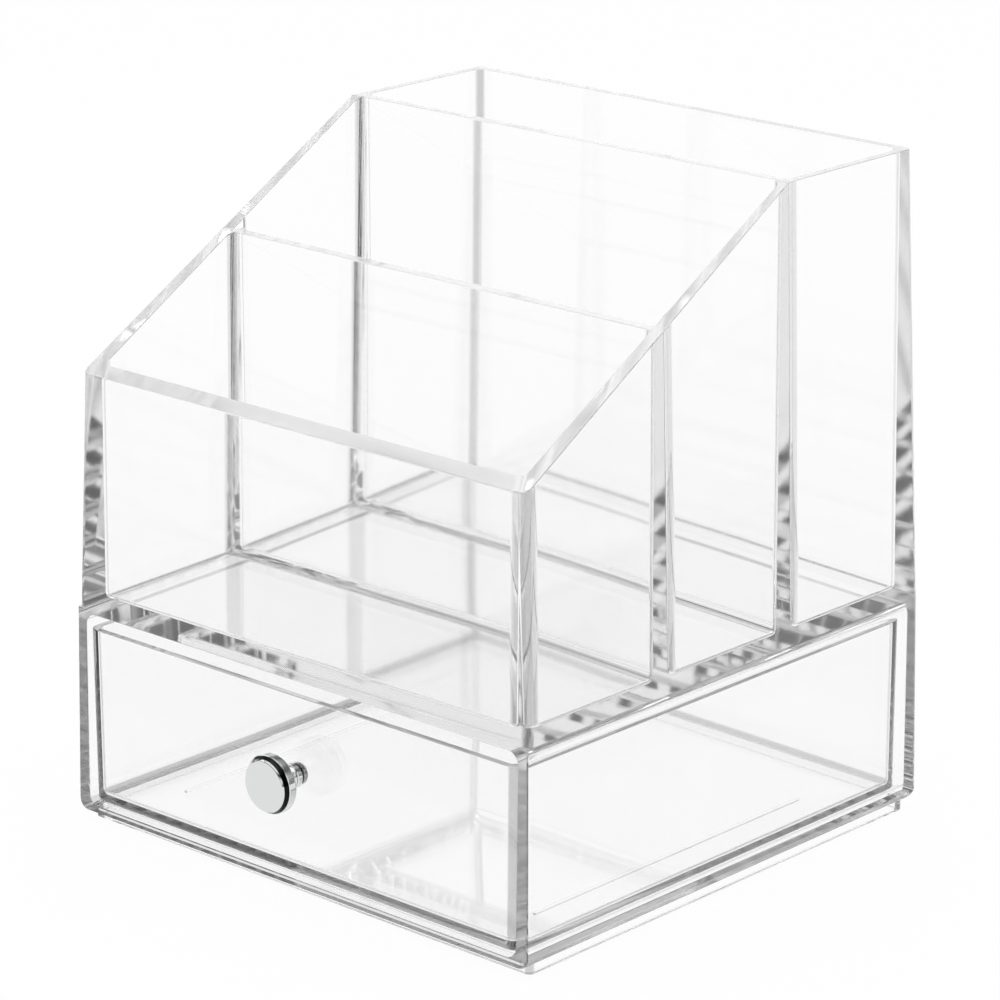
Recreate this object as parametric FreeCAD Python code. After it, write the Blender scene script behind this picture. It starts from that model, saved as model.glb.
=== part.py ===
"""Clear plastic make-up brush holder: three stepped compartments over a sliding drawer.

Frame: +Z up, the drawer opens towards -Y, +X is to the right seen from the front. The origin is
on the floor plane, under the middle of the case. All sizes are in millimetres.
"""

import FreeCAD, Part
import math
import os

os.makedirs("parts", exist_ok=True)

Vector = FreeCAD.Vector

# ---- driving dimensions: levels ------------------------------------------------------------
TOTAL_HEIGHT = 175.8
FRONT_RIM_Z = 119.8          # outer edge of the front wall's sloping top
MIDDLE_TOP_Z = 148.1         # flat top of the middle divider
POCKET_FLOOR_Z = 60.8        # floor of the three compartments
SEAM_Z = 57.8                # bonded joint between the organiser and the drawer case
TUNNEL_ROOF_Z = 56.6
TUNNEL_FLOOR_Z = 4.7
FOOT_HEIGHT = 2.8

# ---- driving dimensions: outer body ----------------------------------------------------------
SEAM_HALF_WIDTH = 77.4
SEAM_HALF_DEPTH = 75.15
SIDE_DRAFT = 2.0             # degrees, organiser side walls lean inwards going up
FRONT_DRAFT = 1.6
BACK_DRAFT = 1.4
CASE_FLARE = 0.8             # degrees, the case widens going down
ORGANISER_CORNER = 2.3
CASE_FRONT_CORNER = 0.4
CASE_BACK_CORNER = 2.2
CASE_BOTTOM_RADIUS = 2.8     # bottom edges of the case at the left, right and back
RIM_ROUND = 0.4

# ---- driving dimensions: compartments --------------------------------------------------------
POCKET_HALF_WIDTH = 70.8
POCKET_FRONT_Y = -69.5
POCKET_BACK_Y = 69.5
POCKET_CORNER = 2.2
POCKET_FLOOR_FILLET = 1.5
MIDDLE_DIVIDER_Y = -22.8
MIDDLE_DIVIDER_TOP = 3.4     # thickness at its top
BACK_DIVIDER_Y = 24.3
BACK_DIVIDER_TOP = 2.8
DIVIDER_DRAFT = 0.75         # degrees per face

# ---- driving dimensions: drawer case -------------------------------------------------------
TUNNEL_HALF_WIDTH = 74.3
CASE_BACK_WALL = 2.9
TUNNEL_RADIUS = 3.0
FOOT_SIDE_INSET = 2.0
FOOT_FRONT_INSET = 3.2       # and at the back
FOOT_WIDTH = 2.0
FOOT_CORNER = 2.0
RAIL_X = 59.0
RAIL_WIDTH = 1.0
RAIL_HEIGHT = 0.5
RAIL_FRONT_Y = -55.0
RAIL_BACK_Y = 46.0

# ---- driving dimensions: drawer, knob and screw ----------------------------------------------
DRAWER_FRONT_Y = -75.2
DRAWER_BACK_Y = 70.5
DRAWER_HALF_WIDTH = 73.85    # at the rim
DRAWER_DRAFT = 0.55          # degrees, left and right sides
DRAWER_TOP_Z = 52.8
DRAWER_BOTTOM_Z = TUNNEL_FLOOR_Z + RAIL_HEIGHT + 0.2
DRAWER_WALL = 1.9
DRAWER_FLOOR = 2.0
DRAWER_CORNER = 3.0
DRAWER_BOTTOM_ROUND = 2.0
DRAWER_FLOOR_FILLET = 1.8
KNOB_Z = 31.8
KNOB_LENGTH = 10.3           # from the drawer front to the knob's flat face
KNOB_FACE_RADIUS = 6.5
KNOB_EDGE_RADIUS = 6.8       # outer edge of the bright chamfer round the face
KNOB_CHAMFER = 0.3
KNOB_BEVEL = 1.4             # length of the bevel behind the chamfer
KNOB_BARREL_RADIUS = 7.6
KNOB_BARREL = 1.7            # length of the barrel behind the bevel
KNOB_SHOULDER = 0.8
KNOB_NECK_RADIUS = 2.6
KNOB_NECK = 1.6              # straight part of the neck
KNOB_FLANGE_RADIUS = 3.2
KNOB_FLANGE = 1.4
SCREW_RADIUS = 1.5
SCREW_REACH = 6.0            # thread length inside the knob
SCREW_HEAD_RADIUS = 2.8
SCREW_HEAD = 1.8
SCREW_CROSS = 2.6            # span of the cross recess
SCREW_CROSS_WIDTH = 0.7
SCREW_CROSS_DEPTH = 0.9
SCREW_HOLE_RADIUS = 1.7

REACH = 60.0                 # how far cutting blocks run past the body


def slope(degrees):
    return math.tan(math.radians(degrees))


def rounded_rectangle(x0, x1, y0, y1, front_radius, back_radius, z):
    """Closed wire of a rectangle with round corners, level at height z. The front is at y0."""
    f = front_radius
    b = back_radius
    fk = f * (1.0 - math.sqrt(0.5))
    bk = b * (1.0 - math.sqrt(0.5))
    corners = (
        ((x0 + f, y0), (x0 + fk, y0 + fk), (x0, y0 + f)),
        ((x0, y1 - b), (x0 + bk, y1 - bk), (x0 + b, y1)),
        ((x1 - b, y1), (x1 - bk, y1 - bk), (x1, y1 - b)),
        ((x1, y0 + f), (x1 - fk, y0 + fk), (x1 - f, y0)),
    )
    edges = []
    for i, corner in enumerate(corners):
        start, middle, end = [Vector(x, y, z) for x, y in corner]
        following = corners[(i + 1) % 4][0]
        edges.append(Part.Arc(start, middle, end).toShape())
        edges.append(Part.LineSegment(end, Vector(following[0], following[1], z)).toShape())
    return Part.Wire(edges)


def tapered_block(lower, upper):
    """Solid between two level wires."""
    return Part.makeLoft([lower, upper], True, True)


def prism_along_x(points_yz, x0, x1):
    face = Part.Face(Part.makePolygon([Vector(x0, y, z) for y, z in points_yz + points_yz[:1]]))
    return face.extrude(Vector(x1 - x0, 0, 0))


def box(x0, x1, y0, y1, z0, z1):
    return Part.makeBox(x1 - x0, y1 - y0, z1 - z0, Vector(x0, y0, z0))


def edges_at(shape, test):
    return [edge for edge in shape.Edges if all(test(vertex.Point) for vertex in edge.Vertexes)]


# ---- organiser -------------------------------------------------------------------------------

def organiser_section(z):
    rise = z - SEAM_Z
    half_width = SEAM_HALF_WIDTH - rise * slope(SIDE_DRAFT)
    front = -SEAM_HALF_DEPTH + rise * slope(FRONT_DRAFT)
    back = SEAM_HALF_DEPTH - rise * slope(BACK_DRAFT)
    return half_width, front, back


def organiser_outline(z):
    half_width, front, back = organiser_section(z)
    return rounded_rectangle(
        -half_width, half_width, front, back, ORGANISER_CORNER, ORGANISER_CORNER, z)


def divider_half(top_thickness, top_z, z):
    return top_thickness / 2.0 + (top_z - z) * slope(DIVIDER_DRAFT)


def pocket(front_at, back_at):
    """One compartment: front_at and back_at give its ends at a height."""
    top = TOTAL_HEIGHT + 5.0
    wires = []
    for z in (POCKET_FLOOR_Z, top):
        wires.append(rounded_rectangle(
            -POCKET_HALF_WIDTH, POCKET_HALF_WIDTH, front_at(z), back_at(z),
            POCKET_CORNER, POCKET_CORNER, z))
    block = tapered_block(*wires)
    floor_edges = edges_at(block, lambda p: abs(p.z - POCKET_FLOOR_Z) < 1e-4)
    return block.makeFillet(POCKET_FLOOR_FILLET, floor_edges)


def pockets():
    def middle(z):
        return divider_half(MIDDLE_DIVIDER_TOP, MIDDLE_TOP_Z, z)

    def back(z):
        return divider_half(BACK_DIVIDER_TOP, TOTAL_HEIGHT, z)

    return [
        pocket(lambda z: POCKET_FRONT_Y, lambda z: MIDDLE_DIVIDER_Y - middle(z)),
        pocket(lambda z: MIDDLE_DIVIDER_Y + middle(z), lambda z: BACK_DIVIDER_Y - back(z)),
        pocket(lambda z: BACK_DIVIDER_Y + back(z), lambda z: POCKET_BACK_Y),
    ]


def slope_gradient():
    run = BACK_DIVIDER_Y - BACK_DIVIDER_TOP / 2.0 - organiser_section(FRONT_RIM_Z)[1]
    return (TOTAL_HEIGHT - FRONT_RIM_Z) / run


def slope_cutter():
    """Everything above the plane from the front rim up to the back divider."""
    front_y = organiser_section(FRONT_RIM_Z)[1]
    back_y = BACK_DIVIDER_Y - BACK_DIVIDER_TOP / 2.0
    gradient = slope_gradient()
    start_y = front_y - REACH
    start_z = FRONT_RIM_Z - REACH * gradient
    ceiling = TOTAL_HEIGHT + REACH
    points = [(start_y, start_z), (back_y, TOTAL_HEIGHT), (back_y, ceiling), (start_y, ceiling)]
    return prism_along_x(points, -2 * REACH, 2 * REACH)


def rim_edges(block):
    """Long edges of the rim, but for the front compartment's inner ones, which stay crisp."""
    front_y = organiser_section(FRONT_RIM_Z)[1]
    gradient = slope_gradient()

    def on_top(p):
        on_slope = abs(p.z - FRONT_RIM_Z - (p.y - front_y) * gradient) < 1e-3
        on_flat = abs(p.z - TOTAL_HEIGHT) < 1e-3
        over_pockets = abs(p.x) < POCKET_HALF_WIDTH + 1e-3
        in_front_pocket = over_pockets and POCKET_FRONT_Y - 1e-3 < p.y < MIDDLE_DIVIDER_Y
        return (on_slope or on_flat) and not in_front_pocket

    return [edge for edge in edges_at(block, on_top) if edge.Length > 20.0]


def organiser():
    block = tapered_block(organiser_outline(SEAM_Z), organiser_outline(TOTAL_HEIGHT))
    for cutter in pockets():
        block = block.cut(cutter)
    block = block.cut(slope_cutter())
    half = divider_half(MIDDLE_DIVIDER_TOP, MIDDLE_TOP_Z, MIDDLE_TOP_Z) + 1.0
    lowered_top = box(
        -POCKET_HALF_WIDTH, POCKET_HALF_WIDTH,
        MIDDLE_DIVIDER_Y - half, MIDDLE_DIVIDER_Y + half,
        MIDDLE_TOP_Z, TOTAL_HEIGHT)
    block = block.cut(lowered_top).removeSplitter()
    return block.makeFillet(RIM_ROUND, rim_edges(block))


# ---- drawer case -----------------------------------------------------------------------------

def case_section(z):
    drop = (SEAM_Z - z) * slope(CASE_FLARE)
    return SEAM_HALF_WIDTH + drop, SEAM_HALF_DEPTH + drop


def case_outline(z):
    half_width, half_depth = case_section(z)
    return rounded_rectangle(
        -half_width, half_width, -half_depth, half_depth,
        CASE_FRONT_CORNER, CASE_BACK_CORNER, z)


def bottom_edge_cutter(distance, turn):
    """Rounds one long bottom edge: turn is 0 for the right side, 90 for the back, 180 for the left."""
    radius = CASE_BOTTOM_RADIUS
    length = 4 * REACH
    corner = box(0, radius + 1.0, 0, length, -1.0, radius)
    roller = Part.makeCylinder(radius, length, Vector(0, 0, radius), Vector(0, 1, 0))
    cutter = corner.cut(roller)
    cutter.translate(Vector(distance - radius, -length / 2.0, FOOT_HEIGHT))
    cutter.rotate(Vector(0, 0, 0), Vector(0, 0, 1), turn)
    return cutter


def tunnel():
    """The drawer's space: a round-cornered slot that is open at the front."""
    front = -SEAM_HALF_DEPTH - 10.0
    back = SEAM_HALF_DEPTH - CASE_BACK_WALL
    slot = box(-TUNNEL_HALF_WIDTH, TUNNEL_HALF_WIDTH, front, back, TUNNEL_FLOOR_Z, TUNNEL_ROOF_Z)
    long_edges = [e for e in slot.Edges if abs(e.tangentAt(e.FirstParameter).y) > 0.99]
    return slot.makeFillet(TUNNEL_RADIUS, long_edges)


def foot_rib():
    half_width, half_depth = case_section(FOOT_HEIGHT)
    outer_x = half_width - FOOT_SIDE_INSET
    outer_y = half_depth - FOOT_FRONT_INSET
    inner_x = outer_x - FOOT_WIDTH
    inner_y = outer_y - FOOT_WIDTH
    height = FOOT_HEIGHT + 0.8
    outer = rounded_rectangle(-outer_x, outer_x, -outer_y, outer_y, FOOT_CORNER, FOOT_CORNER, 0)
    corner = FOOT_CORNER / 2
    inner = rounded_rectangle(-inner_x, inner_x, -inner_y, inner_y, corner, corner, 0)
    return Part.Face(outer).cut(Part.Face(inner)).extrude(Vector(0, 0, height))


def glide_rail(x):
    radius = RAIL_WIDTH / 2.0
    base_z = TUNNEL_FLOOR_Z - 0.5
    height = RAIL_HEIGHT + 0.5
    bar = box(x - radius, x + radius, RAIL_FRONT_Y, RAIL_BACK_Y, base_z, base_z + height)
    for y in (RAIL_FRONT_Y, RAIL_BACK_Y):
        bar = bar.fuse(Part.makeCylinder(radius, height, Vector(x, y, base_z)))
    return bar


def drawer_case():
    block = tapered_block(case_outline(FOOT_HEIGHT), case_outline(SEAM_Z))
    half_width, half_depth = case_section(FOOT_HEIGHT)
    for distance, turn in ((half_width, 0), (half_depth, 90), (half_width, 180)):
        block = block.cut(bottom_edge_cutter(distance, turn))
    block = block.fuse(foot_rib())
    block = block.cut(tunnel())
    for x in (-RAIL_X, RAIL_X):
        block = block.fuse(glide_rail(x))
    return block.removeSplitter()


# ---- drawer ----------------------------------------------------------------------------------

def drawer_outline(z, inset, radius):
    half_width = DRAWER_HALF_WIDTH - (DRAWER_TOP_Z - z) * slope(DRAWER_DRAFT) - inset
    return rounded_rectangle(
        -half_width, half_width, DRAWER_FRONT_Y + inset, DRAWER_BACK_Y - inset,
        radius, radius, z)


def drawer():
    block = tapered_block(
        drawer_outline(DRAWER_BOTTOM_Z, 0.0, DRAWER_CORNER),
        drawer_outline(DRAWER_TOP_Z, 0.0, DRAWER_CORNER))
    bottom_edges = edges_at(block, lambda p: abs(p.z - DRAWER_BOTTOM_Z) < 1e-4)
    block = block.makeFillet(DRAWER_BOTTOM_ROUND, bottom_edges)
    inner_radius = DRAWER_CORNER - DRAWER_WALL + 0.9
    floor_z = DRAWER_BOTTOM_Z + DRAWER_FLOOR
    hollow = tapered_block(
        drawer_outline(floor_z, DRAWER_WALL, inner_radius),
        drawer_outline(DRAWER_TOP_Z + 2.0, DRAWER_WALL, inner_radius))
    floor_edges = edges_at(hollow, lambda p: abs(p.z - floor_z) < 1e-4)
    hollow = hollow.makeFillet(DRAWER_FLOOR_FILLET, floor_edges)
    hole = Part.makeCylinder(
        SCREW_HOLE_RADIUS, 3 * DRAWER_WALL,
        Vector(0, DRAWER_FRONT_Y - DRAWER_WALL, KNOB_Z), Vector(0, 1, 0))
    return block.cut(hollow).cut(hole)


# ---- knob and its screw ----------------------------------------------------------------------

def knob_profile():
    """Half outline of the knob: x is the radius, y the distance from the drawer front."""
    face = KNOB_LENGTH
    edge = face - KNOB_CHAMFER
    barrel_front = edge - KNOB_BEVEL
    barrel_back = barrel_front - KNOB_BARREL
    shoulder = barrel_back - KNOB_SHOULDER
    neck_front = KNOB_FLANGE + KNOB_NECK
    corners = [
        (0, face), (KNOB_FACE_RADIUS, face), (KNOB_EDGE_RADIUS, edge),
        (KNOB_BARREL_RADIUS, barrel_front), (KNOB_BARREL_RADIUS, barrel_back),
    ]
    tail = [
        (KNOB_NECK_RADIUS, neck_front), (KNOB_NECK_RADIUS, KNOB_FLANGE),
        (KNOB_FLANGE_RADIUS, KNOB_FLANGE), (KNOB_FLANGE_RADIUS, 0), (SCREW_RADIUS, 0),
        (SCREW_RADIUS, SCREW_REACH), (0, SCREW_REACH), (0, face),
    ]
    k = KNOB_SHOULDER * (1.0 - math.sqrt(0.5))
    shoulder_end = (KNOB_BARREL_RADIUS - KNOB_SHOULDER, shoulder)
    waist = (KNOB_NECK_RADIUS + 1.3, (shoulder + neck_front) / 2.0 + 0.4)

    def arc(start, middle, end):
        return Part.Arc(*[Vector(x, y, 0) for x, y in (start, middle, end)]).toShape()

    edges = [
        arc(corners[-1], (KNOB_BARREL_RADIUS - k, shoulder + k), shoulder_end),
        arc(shoulder_end, waist, tail[0]),
    ]
    for run in (corners, tail):
        for start, end in zip(run, run[1:]):
            edges.append(Part.LineSegment(Vector(*start, 0), Vector(*end, 0)).toShape())
    return Part.Wire(Part.__sortEdges__(edges))


def knob():
    body = Part.Face(knob_profile()).revolve(Vector(0, 0, 0), Vector(0, 1, 0), 360)
    body.rotate(Vector(0, 0, 0), Vector(1, 0, 0), 180)
    body.translate(Vector(0, DRAWER_FRONT_Y, KNOB_Z))
    return body


def knob_screw():
    axis = Vector(0, 1, 0)
    inner_face_y = DRAWER_FRONT_Y + DRAWER_WALL
    tip = Vector(0, DRAWER_FRONT_Y - SCREW_REACH, KNOB_Z)
    shank = Part.makeCylinder(SCREW_RADIUS, SCREW_REACH + DRAWER_WALL, tip, axis)
    head = Part.makeCylinder(
        SCREW_HEAD_RADIUS, SCREW_HEAD, Vector(0, inner_face_y, KNOB_Z), axis)
    crown_y = inner_face_y + SCREW_HEAD
    crown = [e for e in head.Edges if abs(e.CenterOfMass.y - crown_y) < 1e-4 and len(e.Vertexes) == 1]
    head = head.makeFillet(SCREW_HEAD / 2.0, crown)
    half_span = SCREW_CROSS / 2.0
    half_slot = SCREW_CROSS_WIDTH / 2.0
    floor_y = crown_y - SCREW_CROSS_DEPTH
    for half_x, half_z in ((half_span, half_slot), (half_slot, half_span)):
        head = head.cut(box(-half_x, half_x, floor_y, crown_y + 1.0, KNOB_Z - half_z, KNOB_Z + half_z))
    return shank.fuse(head).removeSplitter()


# ---- export ----------------------------------------------------------------------------------

# The origin lies under the middle of the whole footprint, knob included.
case_back_y = case_section(FOOT_HEIGHT + CASE_BOTTOM_RADIUS)[1]
footprint_middle = (DRAWER_FRONT_Y - KNOB_LENGTH + case_back_y) / 2.0

for name, shape in (
    ("organiser", organiser()),
    ("drawer_case", drawer_case()),
    ("drawer", drawer()),
    ("knob", knob()),
    ("knob_screw", knob_screw()),
):
    shape.translate(Vector(0, -footprint_middle, 0))
    shape.exportStep("parts/" + name + ".step")
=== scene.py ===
import math

import bmesh
import bpy
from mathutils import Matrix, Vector


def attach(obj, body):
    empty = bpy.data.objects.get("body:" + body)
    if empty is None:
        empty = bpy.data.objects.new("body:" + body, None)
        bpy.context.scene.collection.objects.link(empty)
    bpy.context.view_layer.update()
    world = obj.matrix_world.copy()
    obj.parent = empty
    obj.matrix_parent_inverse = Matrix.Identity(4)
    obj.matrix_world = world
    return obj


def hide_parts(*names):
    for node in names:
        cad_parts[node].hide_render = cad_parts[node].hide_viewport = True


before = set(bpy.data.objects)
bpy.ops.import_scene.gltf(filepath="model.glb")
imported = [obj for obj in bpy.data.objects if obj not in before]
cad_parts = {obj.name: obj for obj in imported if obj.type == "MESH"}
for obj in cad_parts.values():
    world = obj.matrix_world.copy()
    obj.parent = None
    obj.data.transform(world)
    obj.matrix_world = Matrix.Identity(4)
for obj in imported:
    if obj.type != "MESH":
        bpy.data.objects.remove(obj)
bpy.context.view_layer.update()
scene = bpy.context.scene

MM = 0.001
# The sizes are measured from under the middle of the case, and the frame's origin is under the
# middle of the whole footprint, with the knob.
SHIFT_Y = 4.8106

# ---- sizes in millimetres and angles in degrees -------------------------------------------------

TOTAL_HEIGHT = 175.8
FRONT_RIM_Z = 119.8         # outer edge of the front wall's sloping top
MIDDLE_TOP_Z = 148.1        # flat top of the middle divider
POCKET_FLOOR_Z = 60.8
SEAM_Z = 57.8               # bonded joint between the organiser and the drawer case
TUNNEL_ROOF_Z = 56.6
TUNNEL_FLOOR_Z = 4.7
FOOT_HEIGHT = 2.8

SEAM_HALF_WIDTH = 77.4
SEAM_HALF_DEPTH = 75.15
SIDE_DRAFT = 2.0            # the organiser's walls lean inwards going up
FRONT_DRAFT = 1.6
BACK_DRAFT = 1.4
CASE_FLARE = 0.8            # the case widens going down
ORGANISER_CORNER = 2.3
CASE_FRONT_CORNER = 0.4
CASE_BACK_CORNER = 2.2
CASE_BOTTOM_RADIUS = 2.8

POCKET_HALF_WIDTH = 70.8
POCKET_FRONT_Y = -69.5
POCKET_BACK_Y = 69.5
POCKET_CORNER = 2.2
POCKET_FLOOR_FILLET = 1.5
MIDDLE_DIVIDER_Y = -22.8
MIDDLE_DIVIDER_TOP = 3.4
BACK_DIVIDER_Y = 24.3
BACK_DIVIDER_TOP = 2.8
DIVIDER_DRAFT = 0.75

TUNNEL_HALF_WIDTH = 74.3
TUNNEL_BACK_Y = 72.25
TUNNEL_RADIUS = 3.0
FOOT_SIDE_INSET = 2.0
FOOT_FRONT_INSET = 3.2      # and at the back
FOOT_WIDTH = 2.0
FOOT_CORNER = 2.0
FOOT_OVERLAP = 0.8          # how far the foot rib reaches up into the case
RAIL_X = 59.0
RAIL_WIDTH = 1.0
RAIL_HEIGHT = 0.5
RAIL_FRONT_Y = -55.0
RAIL_BACK_Y = 46.0

DRAWER_FRONT_Y = -75.2
DRAWER_BACK_Y = 70.5
DRAWER_HALF_WIDTH = 73.85
DRAWER_DRAFT = 0.55
DRAWER_TOP_Z = 52.8
DRAWER_BOTTOM_Z = 5.4
DRAWER_WALL = 1.9
DRAWER_FLOOR = 2.0
DRAWER_CORNER = 3.0
DRAWER_BOTTOM_ROUND = 2.0
DRAWER_INNER_CORNER = 2.0
DRAWER_FLOOR_FILLET = 1.8
KNOB_Z = 31.8
KNOB_LENGTH = 10.3
SCREW_HOLE_RADIUS = 1.7
SCREW_HEAD_RADIUS = 2.8
SCREW_HEAD = 1.8
SCREW_RADIUS = 1.5
SHOWN_SHANK = 3.0           # in front of the drawer; the solid screw is longer, and the knob hides it
THREAD_LENGTH = 4.6
THREAD_TURNS = 12
THREAD_DEPTH = 0.22
CROSS_DEPTH = 0.9

EDGE_ROUND = 0.3
DRAWER_EDGE_ROUND = 0.25
FOOT_EDGE_ROUND = 0.2
PAST = 5.0                  # how far cutters reach past what they cut


def slope(degrees):
    return math.tan(math.radians(degrees))


# ---- camera ------------------------------------------------------------------------------------

CAMERA_POSITION = Vector((707.4, -774.1 + SHIFT_Y, 419.2)) * MM
CAMERA_AZIMUTH = math.radians(42.42)
CAMERA_PITCH = math.radians(17.67)
LIGHT_BOUNCES = 40          # light is reflected many times inside the thick clear walls

camera_data = bpy.data.cameras.new("camera")
camera_data.sensor_width = 36.0
camera_data.lens = 155.76
camera = bpy.data.objects.new("camera", camera_data)
scene.collection.objects.link(camera)
camera.location = CAMERA_POSITION
camera.rotation_euler = (math.radians(90.0) - CAMERA_PITCH, 0.0, CAMERA_AZIMUTH)
bpy.context.scene.camera = camera
scene.view_settings.view_transform = "Standard"
scene.cycles.max_bounces = LIGHT_BOUNCES
scene.cycles.transmission_bounces = LIGHT_BOUNCES
scene.cycles.glossy_bounces = LIGHT_BOUNCES


# ---- materials ---------------------------------------------------------------------------------

PAINTED_EDGE_SHADE = 0.6             # painted shade: base colour that greys the lower edges
PAINTED_CORNER_SHADE = 0.62          # painted shade: base colour that greys the round upright corners
RIM_HIGHLIGHT_TRANSMISSION = 0.45          # painted highlight: transmission of the level and sloping rims, lowered so that they read white
HAZE_DENSITY = 1.2
WAVE_STRENGTH = 0.2
WAVE_DEPTH = 0.001
# Where each mask fades in, by the upward part of the normal or by the product of its level parts.
NEARLY_LEVEL = (0.96, 0.995)
RIM_SLOPE = (0.7, 0.84)
ROUND_CORNER = (0.1, 0.3)


def new_material(name):
    material = bpy.data.materials.new(name)
    material.use_nodes = True
    return material, material.node_tree, material.node_tree.nodes["Principled BSDF"]


def object_coordinates(tree):
    return tree.nodes.new("ShaderNodeTexCoord").outputs["Object"]


def noise(tree, vector, scale, detail):
    node = tree.nodes.new("ShaderNodeTexNoise")
    node.inputs["Scale"].default_value = scale
    node.inputs["Detail"].default_value = detail
    tree.links.new(vector, node.inputs["Vector"])
    return node.outputs["Fac"]


def bump(tree, height, strength, distance):
    node = tree.nodes.new("ShaderNodeBump")
    node.inputs["Strength"].default_value = strength
    node.inputs["Distance"].default_value = distance
    tree.links.new(height, node.inputs["Height"])
    return node.outputs["Normal"]


def map_range(tree, value, low, high, out_low, out_high):
    """A smooth step from out_low to out_high as the value goes from low to high."""
    node = tree.nodes.new("ShaderNodeMapRange")
    node.interpolation_type = "SMOOTHSTEP"
    node.inputs["From Min"].default_value = low
    node.inputs["From Max"].default_value = high
    node.inputs["To Min"].default_value = out_low
    node.inputs["To Max"].default_value = out_high
    tree.links.new(value, node.inputs["Value"])
    return node.outputs["Result"]


def separate(tree, vector, axis):
    node = tree.nodes.new("ShaderNodeSeparateXYZ")
    tree.links.new(vector, node.inputs[0])
    return node.outputs[axis]


def math_node(tree, operation, *values):
    node = tree.nodes.new("ShaderNodeMath")
    node.operation = operation
    for socket, value in zip(node.inputs, values):
        if isinstance(value, float):
            socket.default_value = value
        else:
            tree.links.new(value, socket)
    return node.outputs[0]


def clear_plastic(name, swirl_scale, roughness, edge_bottom, edge_top, rim_bottom):
    """Clear moulding with faint waves, with painted shade greying its corners and lower edge and a
    painted highlight whitening its rims.
    """
    material, tree, shader = new_material(name)
    shader.inputs["Base Color"].default_value = (1.0, 1.0, 1.0, 1.0)
    shader.inputs["Roughness"].default_value = roughness
    shader.inputs["IOR"].default_value = 1.5
    vector = object_coordinates(tree)
    waves = bump(tree, noise(tree, vector, swirl_scale, 1.0), WAVE_STRENGTH, WAVE_DEPTH)
    tree.links.new(waves, shader.inputs["Normal"])

    height = separate(tree, vector, "Z")
    normal = tree.nodes.new("ShaderNodeNewGeometry").outputs["Normal"]
    levelness = math_node(tree, "ABSOLUTE", separate(tree, normal, "Z"))

    # Painted shade: a band along the lower edge, apart from its level faces, is coloured grey.
    above = map_range(tree, height, (edge_bottom - 0.1) * MM, (edge_bottom + 0.1) * MM, 0.0, 1.0)
    below = map_range(tree, height, (edge_top - 0.4) * MM, (edge_top + 0.4) * MM, 1.0, 0.0)
    not_level = map_range(tree, levelness, *NEARLY_LEVEL, 1.0, 0.0)
    edge = math_node(tree, "MULTIPLY", math_node(tree, "MULTIPLY", above, below), not_level)
    painted_edge_shade = map_range(tree, edge, 0.0, 1.0, 1.0, PAINTED_EDGE_SHADE)

    # Painted shade: the round upright corners are coloured grey.
    product = math_node(tree, "MULTIPLY", separate(tree, normal, "X"), separate(tree, normal, "Y"))
    diagonal = math_node(tree, "ABSOLUTE", product)
    painted_corner_shade = map_range(tree, diagonal, *ROUND_CORNER, 1.0, PAINTED_CORNER_SHADE)
    painted_shade = math_node(tree, "MULTIPLY", painted_edge_shade, painted_corner_shade)
    tree.links.new(painted_shade, shader.inputs["Base Color"])

    # Painted highlight: the high level and sloping rims let less light through, so they read white.
    level = map_range(tree, levelness, *RIM_SLOPE, 0.0, 1.0)
    high = map_range(tree, height, (rim_bottom - 0.5) * MM, (rim_bottom + 0.5) * MM, 0.0, 1.0)
    rim = math_node(tree, "MULTIPLY", level, high)
    painted_rim_highlight = map_range(tree, rim, 0.0, 1.0, 1.0, RIM_HIGHLIGHT_TRANSMISSION)
    tree.links.new(painted_rim_highlight, shader.inputs["Transmission Weight"])

    haze = tree.nodes.new("ShaderNodeVolumeAbsorption")
    haze.inputs["Color"].default_value = (0.0, 0.0, 0.0, 1.0)
    haze.inputs["Density"].default_value = HAZE_DENSITY
    tree.links.new(haze.outputs[0], tree.nodes["Material Output"].inputs["Volume"])
    return material


def metal(name, colour, roughness, grain_scale, grain):
    material, tree, shader = new_material(name)
    shader.inputs["Base Color"].default_value = (*colour, 1.0)
    shader.inputs["Metallic"].default_value = 1.0
    texture = noise(tree, object_coordinates(tree), grain_scale, 3.0)
    spread = tree.nodes.new("ShaderNodeMapRange")
    spread.inputs["To Min"].default_value = roughness * 0.7
    spread.inputs["To Max"].default_value = roughness * 1.3
    tree.links.new(texture, spread.inputs["Value"])
    tree.links.new(spread.outputs["Result"], shader.inputs["Roughness"])
    tree.links.new(bump(tree, texture, grain, 0.0001), shader.inputs["Normal"])
    return material


clear_body = clear_plastic("clear_body", 14.0, 0.035, FOOT_HEIGHT, TUNNEL_FLOOR_Z, FRONT_RIM_Z - 10.0)
clear_drawer = clear_plastic("clear_drawer", 12.0, 0.01, 0.0, DRAWER_BOTTOM_Z + 2.6, DRAWER_TOP_Z - 2.0)
chrome = metal("polished_metal", (0.72, 0.73, 0.73), 0.05, 900.0, 0.03)
dark_band = metal("dark_band", (0.012, 0.012, 0.013), 0.12, 900.0, 0.03)
steel = metal("screw_metal", (0.45, 0.46, 0.47), 0.28, 2500.0, 0.15)


# ---- mesh helpers ------------------------------------------------------------------------------

def outline(x0, x1, y0, y1, front_radius, back_radius, z, steps=8):
    """Points of a rectangle with round corners, anticlockwise from above."""
    points = []
    for cx, cy, radius, start in (
        (x1 - front_radius, y0 + front_radius, front_radius, -90.0),
        (x1 - back_radius, y1 - back_radius, back_radius, 0.0),
        (x0 + back_radius, y1 - back_radius, back_radius, 90.0),
        (x0 + front_radius, y0 + front_radius, front_radius, 180.0),
    ):
        for i in range(steps + 1):
            angle = math.radians(start + 90.0 * i / steps)
            points.append((cx + radius * math.cos(angle), cy + radius * math.sin(angle), z))
    return points


def to_frame(point):
    return Vector((point[0], point[1] + SHIFT_Y, point[2])) * MM


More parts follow.
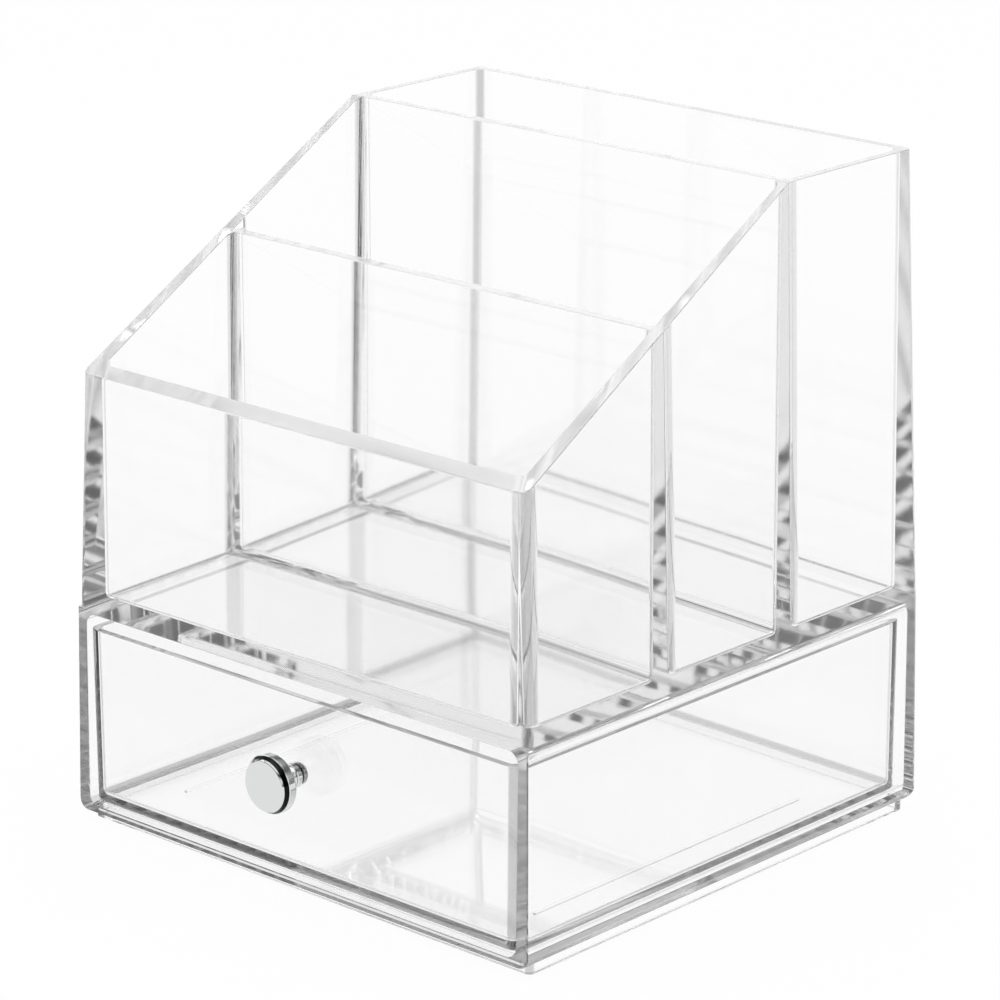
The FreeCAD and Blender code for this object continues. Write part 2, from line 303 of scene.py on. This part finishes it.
def finish_mesh(mesh_builder, name):
    bmesh.ops.recalc_face_normals(mesh_builder, faces=mesh_builder.faces)
    mesh = bpy.data.meshes.new(name)
    mesh_builder.to_mesh(mesh)
    mesh_builder.free()
    made = bpy.data.objects.new(name, mesh)
    scene.collection.objects.link(made)
    return made


def loft(rings, name):
    """Closed solid through level rings that all have the same number of points."""
    builder = bmesh.new()
    rows = [[builder.verts.new(to_frame(point)) for point in ring] for ring in rings]
    for lower, upper in zip(rows, rows[1:]):
        for i in range(len(lower)):
            j = (i + 1) % len(lower)
            builder.faces.new((lower[i], lower[j], upper[j], upper[i]))
    builder.faces.new(rows[0][::-1])
    builder.faces.new(rows[-1])
    return finish_mesh(builder, name)


def prism(near_points, far_points, name):
    """Closed solid between two flat ends that have the same number of points."""
    builder = bmesh.new()
    near = [builder.verts.new(to_frame(point)) for point in near_points]
    far = [builder.verts.new(to_frame(point)) for point in far_points]
    builder.faces.new(near)
    builder.faces.new(far[::-1])
    for i in range(len(near)):
        j = (i + 1) % len(near)
        builder.faces.new((near[i], near[j], far[j], far[i]))
    return finish_mesh(builder, name)


def prism_along_x(points_yz, half_length, name):
    near = [(-half_length, y, z) for y, z in points_yz]
    far = [(half_length, y, z) for y, z in points_yz]
    return prism(near, far, name)


def lathe(profile, name, segments):
    """Turned solid about the knob's axis: profile is (radius, distance from the drawer front)."""
    builder = bmesh.new()
    rows = []
    for radius, distance in profile:
        y = DRAWER_FRONT_Y - distance
        if radius == 0.0:
            rows.append([builder.verts.new(to_frame((0.0, y, KNOB_Z)))])
            continue
        row = []
        for i in range(segments):
            angle = 2.0 * math.pi * i / segments
            point = (radius * math.cos(angle), y, KNOB_Z + radius * math.sin(angle))
            row.append(builder.verts.new(to_frame(point)))
        rows.append(row)
    for first, second in zip(rows, rows[1:]):
        for i in range(segments):
            j = (i + 1) % segments
            if len(first) == 1:
                builder.faces.new((first[0], second[j], second[i]))
            elif len(second) == 1:
                builder.faces.new((first[i], first[j], second[0]))
            else:
                builder.faces.new((first[i], first[j], second[j], second[i]))
    return finish_mesh(builder, name)


def apply_modifiers(target):
    evaluated = target.evaluated_get(bpy.context.evaluated_depsgraph_get())
    mesh = bpy.data.meshes.new_from_object(evaluated)
    target.modifiers.clear()
    old = target.data
    target.data = mesh
    bpy.data.meshes.remove(old)


def combine(target, others, operation):
    for other in others:
        modifier = target.modifiers.new("combine", "BOOLEAN")
        modifier.operation = operation
        modifier.solver = "EXACT"
        modifier.object = other
        apply_modifiers(target)
        old = other.data
        bpy.data.objects.remove(other)
        bpy.data.meshes.remove(old)


def split_at(target, xs):
    """Cuts the faces along planes across X, so that no face runs right round an opening."""
    builder = bmesh.new()
    builder.from_mesh(target.data)
    for x in xs:
        geometry = builder.verts[:] + builder.edges[:] + builder.faces[:]
        bmesh.ops.bisect_plane(
            builder, geom=geometry, dist=1e-7, plane_co=(x * MM, 0.0, 0.0), plane_no=(1.0, 0.0, 0.0))
    builder.to_mesh(target.data)
    builder.free()


def soften(target, width, segments=3, sharp_angle=28.0, crisp_heights=()):
    """Small rounds on the sharp edges, apart from those within the crisp ranges of height."""
    builder = bmesh.new()
    builder.from_mesh(target.data)
    bmesh.ops.dissolve_degenerate(builder, dist=1e-7, edges=builder.edges[:])
    weight = builder.edges.layers.float.new("bevel_weight_edge")
    for edge in builder.edges:
        heights = [vertex.co.z / MM for vertex in edge.verts]
        crisp = any(low < z < high for z in heights for low, high in crisp_heights)
        if not crisp and edge.calc_face_angle(0.0) > math.radians(sharp_angle):
            edge[weight] = 1.0
    builder.to_mesh(target.data)
    builder.free()
    bevel = target.modifiers.new("bevel", "BEVEL")
    bevel.width = width * MM
    bevel.segments = segments
    bevel.limit_method = "WEIGHT"
    bevel.use_clamp_overlap = False
    apply_modifiers(target)


def smooth(target, sharp_angle=40.0):
    target.data.shade_smooth()
    target.data.set_sharp_from_angle(angle=math.radians(sharp_angle))
    weighted = target.modifiers.new("weighted", "WEIGHTED_NORMAL")
    weighted.keep_sharp = True
    weighted.weight = 90
    apply_modifiers(target)


# ---- the bonded body: organiser and drawer case -------------------------------------------------

def organiser_section(z):
    rise = z - SEAM_Z
    half_width = SEAM_HALF_WIDTH - rise * slope(SIDE_DRAFT)
    front = -SEAM_HALF_DEPTH + rise * slope(FRONT_DRAFT)
    back = SEAM_HALF_DEPTH - rise * slope(BACK_DRAFT)
    return half_width, front, back


def case_section(z):
    drop = (SEAM_Z - z) * slope(CASE_FLARE)
    return SEAM_HALF_WIDTH + drop, SEAM_HALF_DEPTH + drop


def outer_rings():
    """From the flat underside, out round the case's bottom edges, and up to the organiser's top."""
    rings = []
    steps = 6
    for i in range(steps + 1):
        angle = math.radians(90.0 * i / steps)
        z = FOOT_HEIGHT + CASE_BOTTOM_RADIUS * (1.0 - math.cos(angle))
        inset = CASE_BOTTOM_RADIUS * (1.0 - math.sin(angle))
        half_width, half_depth = case_section(z)
        rings.append(outline(
            -half_width + inset, half_width - inset, -half_depth, half_depth - inset,
            CASE_FRONT_CORNER, CASE_BACK_CORNER, z))
    half_width, half_depth = case_section(SEAM_Z)
    rings.append(outline(
        -half_width, half_width, -half_depth, half_depth, CASE_FRONT_CORNER, CASE_BACK_CORNER, SEAM_Z))
    for z in (SEAM_Z + 0.02, TOTAL_HEIGHT):
        half_width, front, back = organiser_section(z)
        rings.append(outline(
            -half_width, half_width, front, back, ORGANISER_CORNER, ORGANISER_CORNER, z))
    return rings


def divider_half(top_thickness, top_z, z):
    return top_thickness / 2.0 + (top_z - z) * slope(DIVIDER_DRAFT)


def pocket(front_at, back_at, name):
    rings = []
    steps = 5
    for i in range(steps + 1):
        angle = math.radians(90.0 * i / steps)
        z = POCKET_FLOOR_Z + POCKET_FLOOR_FILLET * (1.0 - math.cos(angle))
        inset = POCKET_FLOOR_FILLET * (1.0 - math.sin(angle))
        radius = POCKET_CORNER - inset
        half_width = POCKET_HALF_WIDTH - inset
        rings.append(outline(
            -half_width, half_width, front_at(z) + inset, back_at(z) - inset, radius, radius, z))
    top = TOTAL_HEIGHT + PAST
    rings.append(outline(
        -POCKET_HALF_WIDTH, POCKET_HALF_WIDTH, front_at(top), back_at(top),
        POCKET_CORNER, POCKET_CORNER, top))
    return loft(rings, name)


def pockets():
    def middle(z):
        return divider_half(MIDDLE_DIVIDER_TOP, MIDDLE_TOP_Z, z)

    def back(z):
        return divider_half(BACK_DIVIDER_TOP, TOTAL_HEIGHT, z)

    return [
        pocket(
            lambda z: POCKET_FRONT_Y, lambda z: MIDDLE_DIVIDER_Y - middle(z), "front_pocket"),
        pocket(
            lambda z: MIDDLE_DIVIDER_Y + middle(z), lambda z: BACK_DIVIDER_Y - back(z), "middle_pocket"),
        pocket(
            lambda z: BACK_DIVIDER_Y + back(z), lambda z: POCKET_BACK_Y, "back_pocket"),
    ]


def slope_cutter():
    front_y = organiser_section(FRONT_RIM_Z)[1]
    back_y = BACK_DIVIDER_Y - BACK_DIVIDER_TOP / 2.0
    gradient = (TOTAL_HEIGHT - FRONT_RIM_Z) / (back_y - front_y)
    reach = 40.0
    above = 0.5 / gradient
    points = [
        (front_y - reach, FRONT_RIM_Z - reach * gradient),
        (back_y + above, TOTAL_HEIGHT + 0.5),
        (back_y + above, TOTAL_HEIGHT + reach),
        (front_y - reach, TOTAL_HEIGHT + reach),
    ]
    return prism_along_x(points, 120.0, "slope_cutter")


def lowered_divider_cutter():
    half = MIDDLE_DIVIDER_TOP / 2.0 + 1.0
    y0 = MIDDLE_DIVIDER_Y - half
    y1 = MIDDLE_DIVIDER_Y + half
    top = TOTAL_HEIGHT + PAST
    points = [(y0, MIDDLE_TOP_Z), (y1, MIDDLE_TOP_Z), (y1, top), (y0, top)]
    return prism_along_x(points, POCKET_HALF_WIDTH, "lowered_divider_cutter")


def tunnel_cutter():
    """A slot along Y with round long edges, open at the front."""
    front_y = -SEAM_HALF_DEPTH - 2.0 * PAST
    section = outline(
        -TUNNEL_HALF_WIDTH, TUNNEL_HALF_WIDTH, TUNNEL_FLOOR_Z, TUNNEL_ROOF_Z,
        TUNNEL_RADIUS, TUNNEL_RADIUS, 0.0)
    near = [(x, front_y, z) for x, z, _ in section]
    far = [(x, TUNNEL_BACK_Y, z) for x, z, _ in section]
    return prism(near, far, "tunnel_cutter")


def foot_rib():
    half_width, half_depth = case_section(FOOT_HEIGHT)
    top = FOOT_HEIGHT + FOOT_OVERLAP
    parts = []
    for width, z0, z1 in ((0.0, 0.0, top), (FOOT_WIDTH, -1.0, top + 1.0)):
        x = half_width - FOOT_SIDE_INSET - width
        y = half_depth - FOOT_FRONT_INSET - width
        radius = FOOT_CORNER - width / 2.0
        parts.append(loft([outline(-x, x, -y, y, radius, radius, z) for z in (z0, z1)], "foot"))
    rib, inside = parts
    combine(rib, [inside], "DIFFERENCE")
    soften(rib, FOOT_EDGE_ROUND)
    return rib


def glide_rail(x):
    half = RAIL_WIDTH / 2.0
    end_radius = half * 0.98
    rings = [
        outline(x - half, x + half, RAIL_FRONT_Y - half, RAIL_BACK_Y + half, end_radius, end_radius, z)
        for z in (TUNNEL_FLOOR_Z - 0.5, TUNNEL_FLOOR_Z + RAIL_HEIGHT)
    ]
    return loft(rings, "glide_rail")


def set_material(target, material):
    target.data.materials.clear()
    target.data.materials.append(material)


def make_body():
    body = loft(outer_rings(), "body_shell")
    combine(body, pockets(), "DIFFERENCE")
    combine(body, [slope_cutter(), lowered_divider_cutter(), tunnel_cutter()], "DIFFERENCE")
    underside = (0.0, FOOT_HEIGHT + CASE_BOTTOM_RADIUS + 0.1)
    seam = (SEAM_Z - 0.1, SEAM_Z + 0.1)
    soften(body, EDGE_ROUND, crisp_heights=(underside, seam))
    combine(body, [foot_rib(), glide_rail(-RAIL_X), glide_rail(RAIL_X)], "UNION")
    split_at(body, (-RAIL_X, 0.0, RAIL_X))
    # Nothing stands above the total height.
    for vertex in body.data.vertices:
        vertex.co.z = min(vertex.co.z, TOTAL_HEIGHT * MM)
    smooth(body)
    set_material(body, clear_body)
    return body


# ---- drawer ------------------------------------------------------------------------------------

def drawer_ring(z, inset, radius):
    half_width = DRAWER_HALF_WIDTH - (DRAWER_TOP_Z - z) * slope(DRAWER_DRAFT) - inset
    return outline(
        -half_width, half_width, DRAWER_FRONT_Y + inset, DRAWER_BACK_Y - inset, radius, radius, z)


def rounded_tray(bottom_z, top_z, wall, corner, rounding, name):
    rings = []
    steps = 6
    for i in range(steps + 1):
        angle = math.radians(90.0 * i / steps)
        z = bottom_z + rounding * (1.0 - math.cos(angle))
        inset = rounding * (1.0 - math.sin(angle))
        rings.append(drawer_ring(z, wall + inset, corner - inset))
    rings.append(drawer_ring(top_z, wall, corner))
    return loft(rings, name)


def make_drawer():
    tray = rounded_tray(
        DRAWER_BOTTOM_Z, DRAWER_TOP_Z, 0.0, DRAWER_CORNER, DRAWER_BOTTOM_ROUND, "drawer_tray")
    hollow = rounded_tray(
        DRAWER_BOTTOM_Z + DRAWER_FLOOR, DRAWER_TOP_Z + 2.0, DRAWER_WALL,
        DRAWER_INNER_CORNER, DRAWER_FLOOR_FILLET, "hollow")
    hole = lathe([
        (0.0, DRAWER_WALL), (SCREW_HOLE_RADIUS, DRAWER_WALL),
        (SCREW_HOLE_RADIUS, -2.0 * DRAWER_WALL), (0.0, -2.0 * DRAWER_WALL)], "hole", 48)
    combine(tray, [hollow, hole], "DIFFERENCE")
    soften(tray, DRAWER_EDGE_ROUND)
    split_at(tray, (0.0,))
    smooth(tray)
    set_material(tray, clear_drawer)
    return tray


# ---- knob and screw ----------------------------------------------------------------------------

def arc_points(centre, radius, start, end, steps):
    cx, cy = centre
    points = []
    for i in range(steps + 1):
        angle = math.radians(start + (end - start) * i / steps)
        points.append((cx + radius * math.cos(angle), cy + radius * math.sin(angle)))
    return points


def make_knob():
    """One turned piece: flat face, dark sloping band, barrel, waist, neck and base flange."""
    face = KNOB_LENGTH
    band_start = 0.42
    band_end = 1.6
    profile = [(0.0, face), (6.3, face)]
    profile += arc_points((6.3, face - 0.25), 0.25, 90.0, 20.0, 4)[1:]
    profile += [(6.8, face - band_start), (6.85, face - 0.55)]
    profile += [(7.1, face - 1.05), (7.4, face - 1.55)]
    profile += arc_points((7.3, face - 1.8), 0.3, 20.0, 0.0, 2)
    profile += [(7.6, 6.9)]
    profile += arc_points((6.8, 6.9), 0.8, 0.0, -90.0, 6)[1:]
    profile += [(5.6, 5.8), (4.6, 5.3), (3.8, 4.65), (3.1, 3.9), (2.7, 3.3), (2.6, 3.0)]
    profile += [(2.6, 1.65), (2.7, 1.45), (3.0, 1.4), (3.2, 1.2), (3.2, 0.0), (0.0, 0.0)]
    knob = lathe(profile, "knob_turned", 128)
    knob.data.materials.append(chrome)
    knob.data.materials.append(dark_band)
    front = (DRAWER_FRONT_Y - face + band_start + SHIFT_Y) * MM
    back = (DRAWER_FRONT_Y - face + band_end + SHIFT_Y) * MM
    for polygon in knob.data.polygons:
        radius = math.hypot(polygon.center.x, polygon.center.z - KNOB_Z * MM)
        if front < polygon.center.y < back and radius > 6.7 * MM:
            polygon.material_index = 1
    smooth(knob, 30.0)
    return knob


def make_screw():
    """A threaded shank and a round head with a cross recess, seen from inside the drawer."""
    head_start = -DRAWER_WALL
    head_end = head_start - SCREW_HEAD
    crown = SCREW_HEAD / 2.0
    profile = [(0.0, SHOWN_SHANK), (SCREW_RADIUS, SHOWN_SHANK)]
    for i in range(THREAD_TURNS):
        distance = SHOWN_SHANK - THREAD_LENGTH * i / THREAD_TURNS
        profile.append((SCREW_RADIUS, distance - 0.08))
        profile.append((SCREW_RADIUS - THREAD_DEPTH, distance - 0.25))
    profile += [(SCREW_RADIUS, head_start + 0.1), (SCREW_RADIUS, head_start)]
    profile += [(SCREW_HEAD_RADIUS, head_start), (SCREW_HEAD_RADIUS, head_start - crown)]
    profile += arc_points((SCREW_HEAD_RADIUS - crown, head_start - crown), crown, 0.0, -90.0, 6)[1:]
    profile += [(0.0, head_end)]
    screw = lathe(profile, "screw_turned", 64)
    cross = []
    crown_y = DRAWER_FRONT_Y - head_end
    y0 = crown_y - CROSS_DEPTH
    y1 = crown_y + 1.0
    for half_x, half_z in ((1.3, 0.35), (0.35, 1.3)):
        corners = ((-half_x, y0), (half_x, y0), (half_x, y1), (-half_x, y1))
        rings = [[(x, y, KNOB_Z + z) for x, y in corners] for z in (-half_z, half_z)]
        cross.append(loft(rings, "cross"))
    combine(screw, cross, "DIFFERENCE")
    set_material(screw, steel)
    smooth(screw, 35.0)
    return screw


body = make_body()
drawer = make_drawer()
knob = make_knob()
screw = make_screw()

for piece, nodes, group, slot in (
    (body, ("organiser", "drawer_case"), "holder", "clear_body"),
    (drawer, ("drawer",), "tray", "clear_drawer"),
    (knob, ("knob",), "tray", "polished_metal"),
    (screw, ("knob_screw",), "tray", "screw_metal"),
):
    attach(piece, group)
    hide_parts(*nodes)


# ---- floor, world and lamps --------------------------------------------------------------------

AIR_GAP = 0.0001            # metres, so that the foot and the floor don't lie in one plane
FLOOR_HALF_SIZE = 12.0
FLOOR_GLOW = 0.97           # what is left of the floor's look shows the shadow
BACKDROP_DIRECTION = (-0.645, 0.706, 0.0)    # and the opposite way
BACKDROP_RISE = 0.292
SIDE_LEVEL = 0.12
BAND_LEVEL = 0.05
CEILING_LEVEL = 1.0
BACKDROP_EDGE = (0.92, 0.985)
BAND_EDGE = (0.38, 0.55)
CEILING_EDGE = (0.62, 0.85)


def make_floor():
    builder = bmesh.new()
    half = FLOOR_HALF_SIZE
    for x, y in ((-half, -half), (half, -half), (half, half), (-half, half)):
        builder.verts.new((x, y, -AIR_GAP))
    builder.faces.new(builder.verts)
    floor = finish_mesh(builder, "floor")
    material, tree, shader = new_material("floor")
    shader.inputs["Base Color"].default_value = (0.95, 0.95, 0.95, 1.0)
    shader.inputs["Roughness"].default_value = 0.9
    shader.inputs["Specular IOR Level"].default_value = 0.0
    glow = tree.nodes.new("ShaderNodeEmission")
    glow.inputs["Color"].default_value = (1.0, 1.0, 1.0, 1.0)
    glow.inputs["Strength"].default_value = 1.0
    rays = tree.nodes.new("ShaderNodeLightPath").outputs
    seen = math_node(tree, "MAXIMUM", rays["Is Camera Ray"], rays["Is Transmission Ray"])
    seen = math_node(tree, "MAXIMUM", seen, rays["Is Glossy Ray"])
    share = math_node(tree, "MULTIPLY", seen, FLOOR_GLOW)
    mix = tree.nodes.new("ShaderNodeMixShader")
    tree.links.new(share, mix.inputs["Fac"])
    tree.links.new(shader.outputs[0], mix.inputs[1])
    tree.links.new(glow.outputs[0], mix.inputs[2])
    tree.links.new(mix.outputs[0], tree.nodes["Material Output"].inputs["Surface"])
    floor.data.materials.append(material)


def make_world():
    """A pale room with a bright backdrop and ceiling, dim between them so that edges read grey."""
    world = bpy.data.worlds.new("world")
    world.use_nodes = True
    scene.world = world
    tree = world.node_tree
    coordinates = tree.nodes.new("ShaderNodeTexCoord")
    direction = coordinates.outputs["Generated"]
    height = separate(tree, direction, "Z")
    towards = tree.nodes.new("ShaderNodeVectorMath")
    towards.operation = "DOT_PRODUCT"
    towards.inputs[1].default_value = BACKDROP_DIRECTION
    tree.links.new(direction, towards.inputs[0])
    either_way = math_node(tree, "ABSOLUTE", towards.outputs["Value"])
    raised = math_node(tree, "MULTIPLY", height, BACKDROP_RISE)
    aligned = math_node(tree, "ADD", either_way, raised)
    backdrop = map_range(tree, aligned, *BACKDROP_EDGE, SIDE_LEVEL, 1.0)
    below_band = map_range(tree, height, *BAND_EDGE, 1.0, BAND_LEVEL / SIDE_LEVEL)
    ceiling = map_range(tree, height, *CEILING_EDGE, 0.0, CEILING_LEVEL)
    level = math_node(tree, "MAXIMUM", math_node(tree, "MULTIPLY", backdrop, below_band), ceiling)
    tree.links.new(level, tree.nodes["Background"].inputs["Color"])
    tree.nodes["Background"].inputs["Strength"].default_value = 1.0


def softbox(name, location, target, width, height, power):
    data = bpy.data.lights.new(name, "AREA")
    data.shape = "RECTANGLE"
    data.size = width
    data.size_y = height
    data.energy = power
    lamp = bpy.data.objects.new(name, data)
    scene.collection.objects.link(lamp)
    lamp.location = location
    direction = Vector(target) - Vector(location)
    lamp.rotation_euler = direction.to_track_quat("-Z", "Y").to_euler()


make_floor()
make_world()
softbox("overhead", (0.0, 0.2, 1.6), (0.0, 0.0, 0.0), 1.4, 1.4, 11.0)
softbox("left", (-1.5, -0.6, 0.9), (0.0, 0.0, 0.1), 0.9, 1.2, 4.0)
softbox("right", (1.5, 0.3, 0.9), (0.0, 0.0, 0.1), 0.9, 1.2, 4.0)
